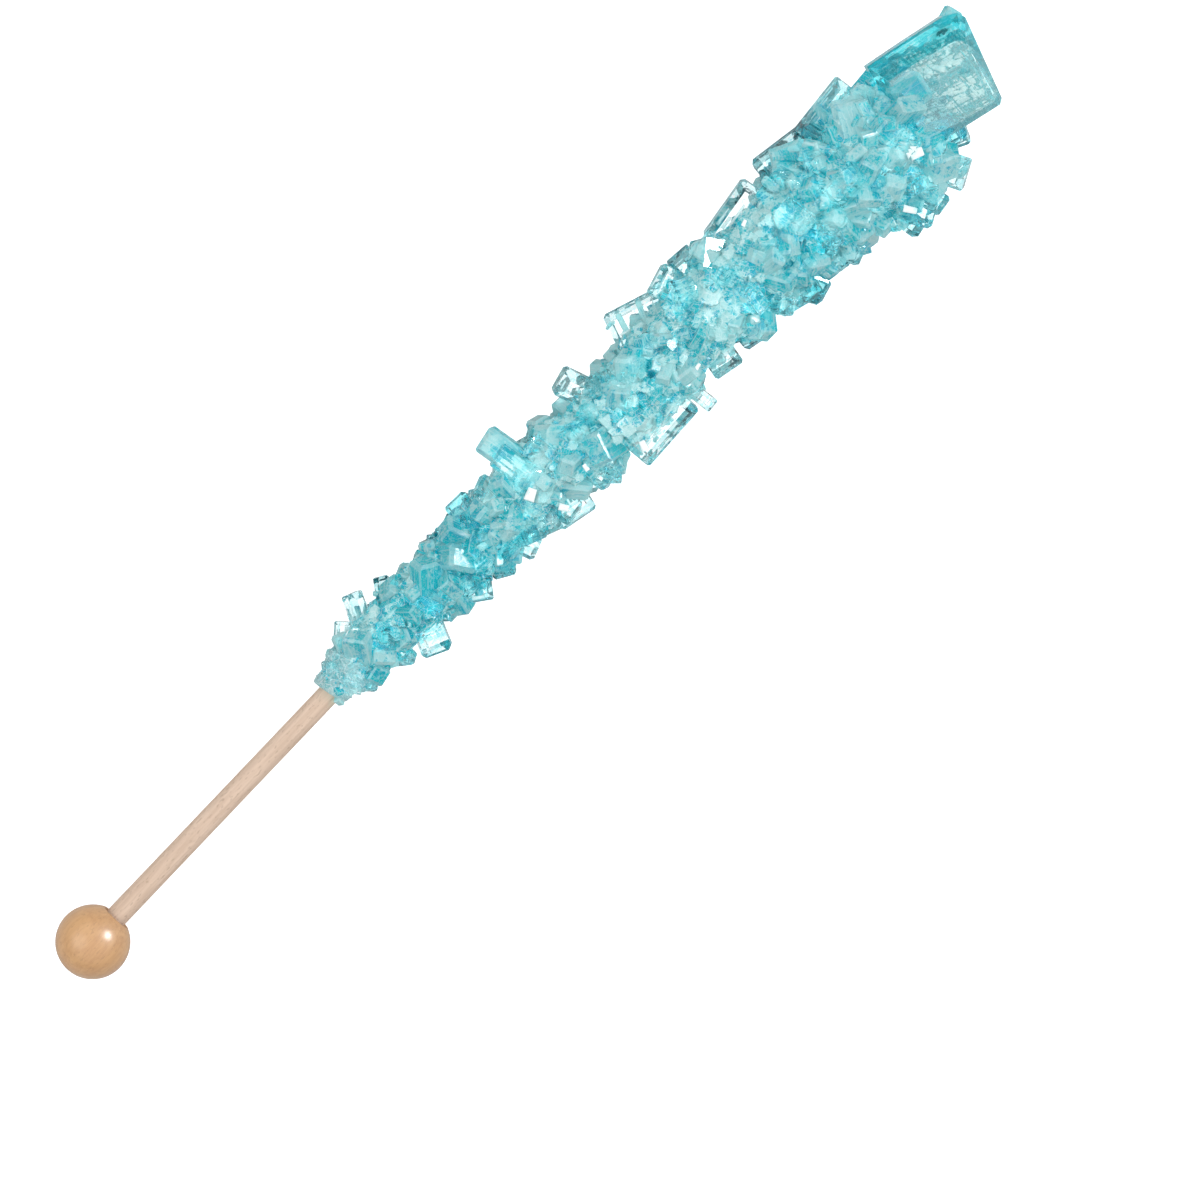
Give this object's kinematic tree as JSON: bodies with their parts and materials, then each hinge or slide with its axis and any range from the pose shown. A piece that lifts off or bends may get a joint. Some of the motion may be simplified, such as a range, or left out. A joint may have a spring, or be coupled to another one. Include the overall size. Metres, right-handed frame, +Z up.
{
  "type": "rock candy stick",
  "caption": "Lying rock candy stick: blocky sugar crystals grown round a wooden dowel that ends in a ball knob.",
  "frame": {"origin": "on the surface that the stick lies on, under the middle of its box", "axes": "+X along the stick towards the candy's tip, +Z up, +Y to the left when looking from the knob to the tip"},
  "size_m": [0.174, 0.0244, 0.0209],
  "materials": {
    "varnished_wood": "honey coloured beech under clear varnish",
    "raw_wood": "bare pale birch, fine grain along the dowel",
    "teal_sugar": "clear to milky teal sugar crystals with uneven dye"
  },
  "bodies": {
    "root": {"ball_knob": "varnished_wood", "dowel": "raw_wood", "candy": "teal_sugar"}
  },
  "joints": []
}
